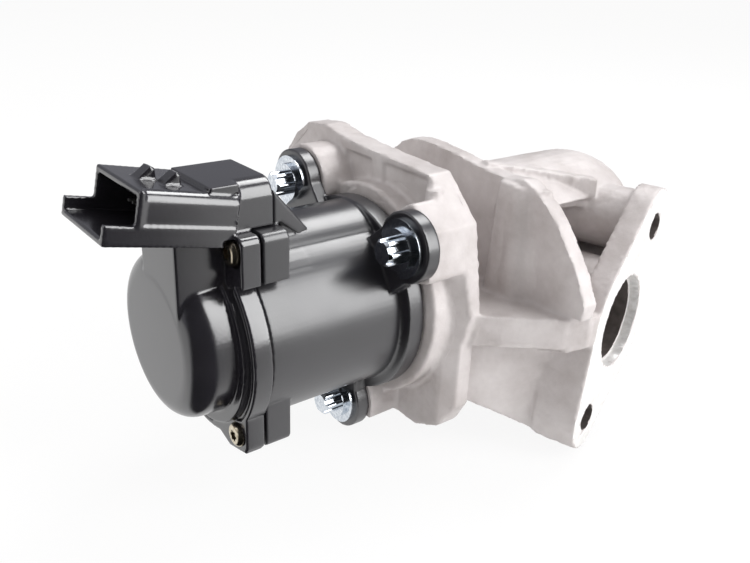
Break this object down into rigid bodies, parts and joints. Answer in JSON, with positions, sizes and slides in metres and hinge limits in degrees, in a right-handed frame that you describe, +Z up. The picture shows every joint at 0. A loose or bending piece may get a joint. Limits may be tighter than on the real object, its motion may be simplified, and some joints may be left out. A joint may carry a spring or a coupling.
{
  "type": "exhaust gas recirculation valve",
  "caption": "Motor-driven poppet valve with an oval two-bolt inlet flange, round outlet flange, geared electric actuator and angled plug socket.",
  "frame": {"origin": "centre of the inlet port on its flange face", "axes": "+X along the drive axis from the actuator cap to the outlet flange, +Z up; the inlet face looks along -Y turned 15.7 degrees towards +X"},
  "size_m": [0.1691, 0.1033, 0.0886],
  "materials": {
    "casting": "as cast, machined faces",
    "housing_plastic": "moulded, semi-gloss",
    "seal_rubber": "moulded",
    "cover_screw_zinc": "yellow zinc plated",
    "screw_zinc": "bright zinc plated",
    "terminal_tin": "tin plated",
    "motor_steel": "zinc plated sheet",
    "magnet_ferrite": "sintered ferrite",
    "cap_plastic": "moulded",
    "carbon": "pressed carbon",
    "shaft_steel": "ground",
    "core_steel": "laminated",
    "copper": "turned copper",
    "gear_brass": "hobbed",
    "gear_plastic": "moulded acetal",
    "plate_steel": "stamped",
    "bush_bronze": "sintered bronze",
    "board_green": "lacquered board",
    "spring_steel": "oiled spring wire",
    "valve_steel": "heat-resistant steel, turned"
  },
  "bodies": {
    "body": {"valve_body": "casting", "actuator_housing": "housing_plastic", "gear_cover": "housing_plastic", "cover_seal": "seal_rubber", "body_gasket": "seal_rubber", "stem_seal": "seal_rubber", "cover_screws": "cover_screw_zinc", "actuator_screws": "screw_zinc", "limiter_plates": "screw_zinc", "connector_terminals": "terminal_tin", "motor_can": "motor_steel", "motor_magnets": "magnet_ferrite", "motor_end_cap": "cap_plastic", "motor_brushes": "carbon", "idler_pin": "shaft_steel", "bearing_plate": "plate_steel", "guide_sleeve": "plate_steel", "output_bush": "bush_bronze", "stem_guide": "bush_bronze", "sensor_board": "board_green", "valve_seat": "valve_steel"},
    "rotor": {"rotor_shaft": "shaft_steel", "rotor_armature": "core_steel", "commutator": "copper", "motor_pinion": "gear_brass"},
    "idler": {"idler_gear": "gear_plastic"},
    "output": {"output_gear": "gear_plastic", "cam_drum": "gear_plastic", "sensor_magnet": "magnet_ferrite"},
    "valve": {"valve_stem": "shaft_steel", "valve_head": "valve_steel", "spring_retainer": "plate_steel", "cross_pin": "shaft_steel", "cam_rollers": "shaft_steel", "return_spring": "spring_steel"}
  },
  "joints": [
    {"name": "motor_spin", "type": "hinge", "parent": "body", "child": "rotor", "pos_m": [-0.0883, 0.0483, 0.0195], "axis": [1, 0, 0], "range_deg": [0, 500]},
    {"name": "idler_spin", "type": "hinge", "parent": "body", "child": "idler", "pos_m": [-0.1103, 0.05506, 0.00887], "axis": [1, 0, 0], "range_deg": [-200, 0]},
    {"name": "output_spin", "type": "hinge", "parent": "body", "child": "output", "pos_m": [-0.1083, 0.0483, -0.002], "axis": [1, 0, 0], "range_deg": [0, 120]},
    {"name": "valve_slide", "type": "slide", "parent": "body", "child": "valve", "axis": [1, 0, 0], "range_m": [0, 0.006], "deforming": ["return_spring"]}
  ],
  "couplings": [
    {"joint": "motor_spin", "follows": "valve_slide", "rad_per_m": 1454.4},
    {"joint": "idler_spin", "follows": "valve_slide", "rad_per_m": -581.78},
    {"joint": "output_spin", "follows": "valve_slide", "rad_per_m": 349.07}
  ]
}
